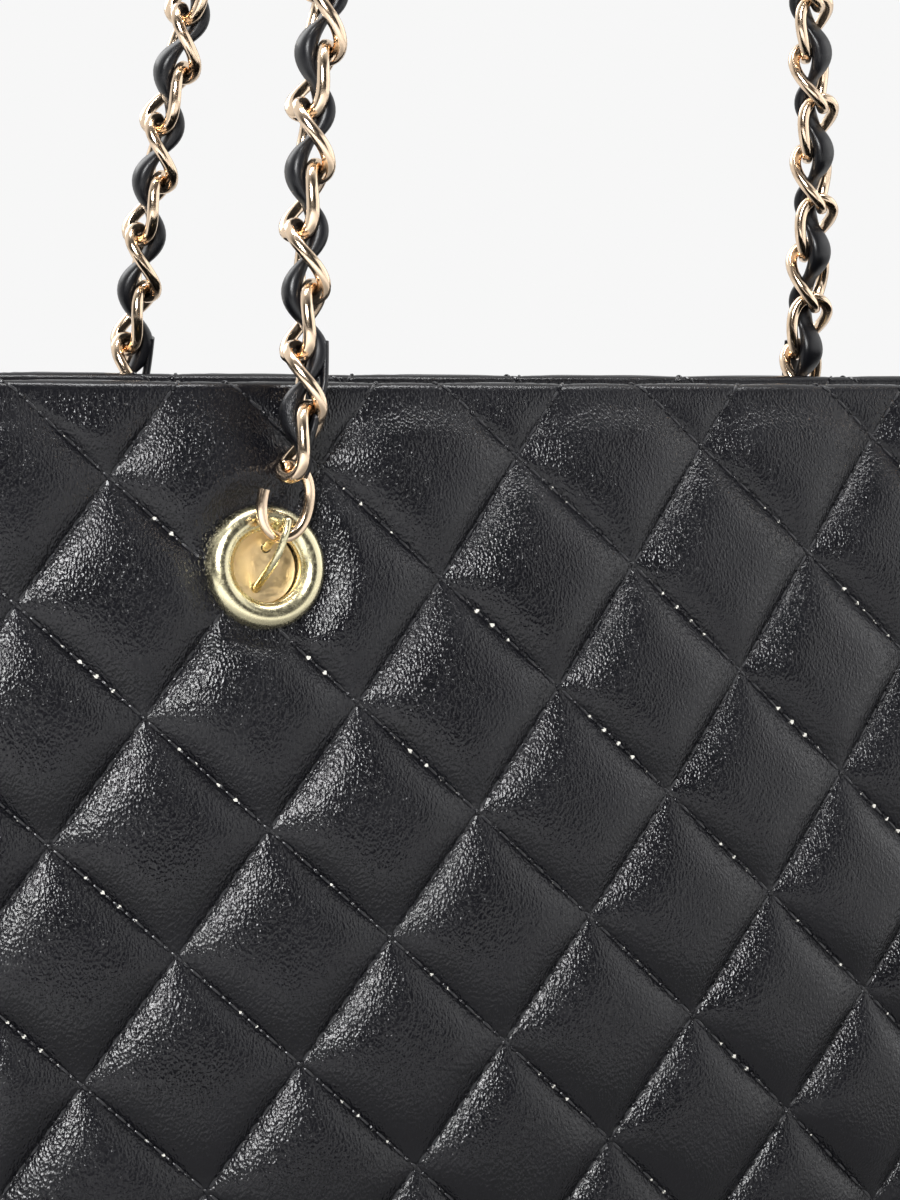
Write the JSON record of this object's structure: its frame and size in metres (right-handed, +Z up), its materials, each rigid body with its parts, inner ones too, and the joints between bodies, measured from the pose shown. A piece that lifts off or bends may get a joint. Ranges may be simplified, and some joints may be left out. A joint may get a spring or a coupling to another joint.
{
  "type": "tote bag",
  "caption": "Quilted tote bag with padded panels, gusseted sides and shoulder straps of twisted chain laced with a leather cord, hung from metal eyelets.",
  "frame": {"origin": "centre of the flat base, on the surface that the bag stands on", "axes": "+Z up, X along the bag's width, the front face with its own strap towards -Y"},
  "size_m": [0.3838, 0.137, 0.4983],
  "materials": {
    "leather": "semi-matt, fine grain",
    "wadding": "soft",
    "facing": "matt",
    "lining": "woven",
    "board": "pressed board",
    "eyelet_gold": "polished pale gold plate",
    "plate_gold": "satin gold plate",
    "chain_gold": "polished warm gold plate",
    "washer_steel": "plain"
  },
  "bodies": {
    "bag": {"front_panel": "leather", "back_panel": "leather", "left_gusset": "leather", "right_gusset": "leather", "front_wadding": "wadding", "back_wadding": "wadding", "left_wadding": "wadding", "right_wadding": "wadding", "base_panel": "leather", "base_board": "board", "top_facing": "facing", "lining": "lining", "front_left_eyelet": "eyelet_gold", "front_left_washer": "eyelet_gold", "front_left_plate": "plate_gold", "front_left_ring": "eyelet_gold", "front_right_eyelet": "eyelet_gold", "front_right_washer": "eyelet_gold", "front_right_plate": "plate_gold", "front_right_ring": "eyelet_gold", "rear_left_eyelet": "eyelet_gold", "rear_left_washer": "eyelet_gold", "rear_left_plate": "plate_gold", "rear_left_ring": "eyelet_gold", "rear_right_eyelet": "eyelet_gold", "rear_right_washer": "eyelet_gold", "rear_right_plate": "plate_gold", "rear_right_ring": "eyelet_gold", "snap_socket": "eyelet_gold", "snap_stud": "eyelet_gold", "snap_socket_washer": "washer_steel", "snap_stud_washer": "washer_steel"},
    "front_strap": {"front_chain": "chain_gold", "front_lace": "leather", "front_left_end_link": "chain_gold", "front_right_end_link": "chain_gold"},
    "rear_strap": {"rear_chain": "chain_gold", "rear_lace": "leather", "rear_left_end_link": "chain_gold", "rear_right_end_link": "chain_gold"}
  },
  "joints": [
    {"name": "front_strap_swing", "type": "hinge", "parent": "bag", "child": "front_strap", "pos_m": [0, -0.05403, 0.23449], "axis": [1, 0, 0], "range_deg": [0, 130]},
    {"name": "rear_strap_swing", "type": "hinge", "parent": "bag", "child": "rear_strap", "pos_m": [0, 0.05403, 0.23449], "axis": [1, 0, 0], "range_deg": [-130, 0]}
  ]
}
